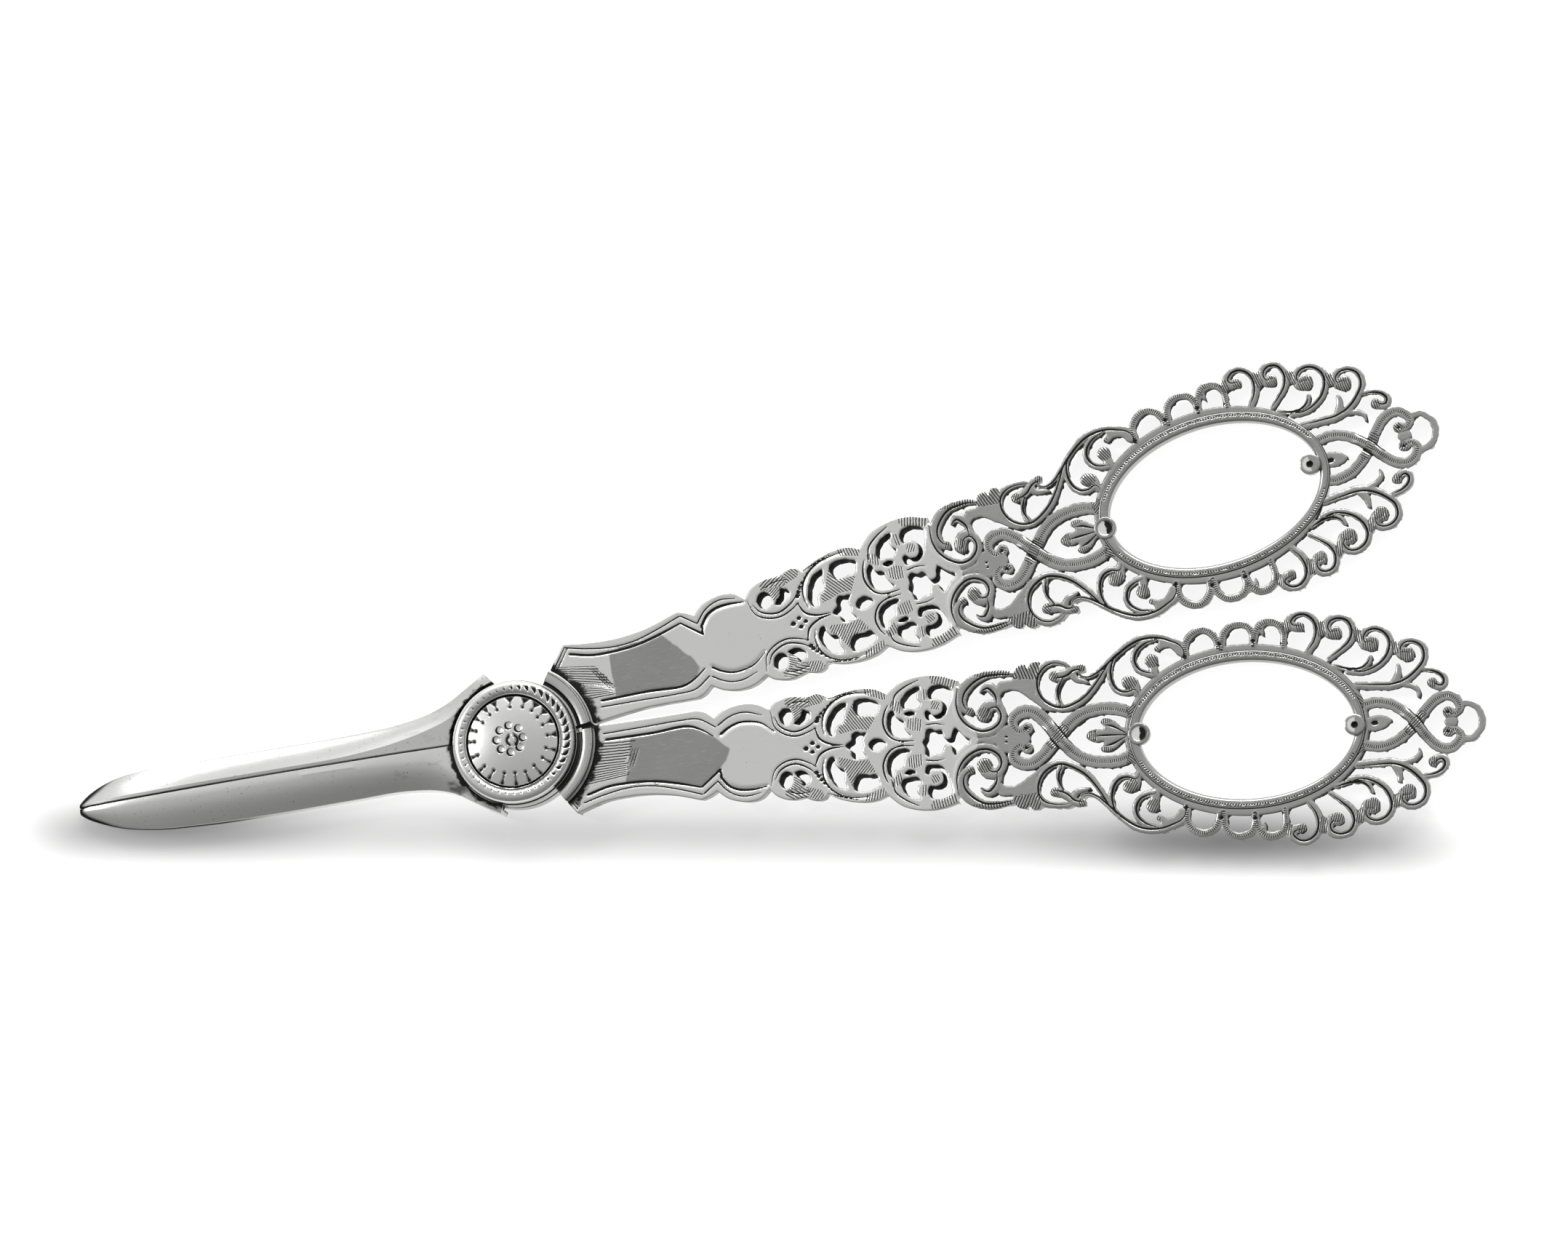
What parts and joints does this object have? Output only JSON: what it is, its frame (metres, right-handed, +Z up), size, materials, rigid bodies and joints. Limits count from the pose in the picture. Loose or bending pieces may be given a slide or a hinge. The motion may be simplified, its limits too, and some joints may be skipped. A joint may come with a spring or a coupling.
{
  "type": "grape shears",
  "caption": "Table shears for grapes: pierced scrollwork handles with oval finger bows, and short stout jaws that open on a riveted pivot under a rosette cap.",
  "frame": {"origin": "on the pivot's axis, at the flush tail of the pin on the shears' flat back", "axes": "+X from the pivot to the handles along the closed jaws, +Y towards the upper handle, +Z up out of the pivot's cap"},
  "size_m": [0.1752, 0.0604, 0.0056],
  "materials": {
    "jaw_silver": "polished silver",
    "handle_silver": "engraved silver, satin, dark in the recesses",
    "trim_silver": "polished silver",
    "pin_metal": "dull"
  },
  "bodies": {
    "back_half": {"back_jaw": "jaw_silver", "lower_handle": "handle_silver", "lower_bow_liner": "trim_silver", "lower_near_bead": "trim_silver", "lower_far_bead": "trim_silver", "pivot_pin": "pin_metal", "friction_washer": "pin_metal", "back_washer": "pin_metal", "rosette_disc": "trim_silver", "milled_rim": "trim_silver"},
    "front_half": {"front_jaw": "jaw_silver", "upper_handle": "handle_silver", "upper_bow_liner": "trim_silver", "upper_near_bead": "trim_silver", "upper_far_bead": "trim_silver"}
  },
  "joints": [
    {"name": "pivot", "type": "hinge", "parent": "back_half", "child": "front_half", "pos_m": [0, 0, 0], "axis": [0, 0, 1], "range_deg": [0, 40]}
  ]
}
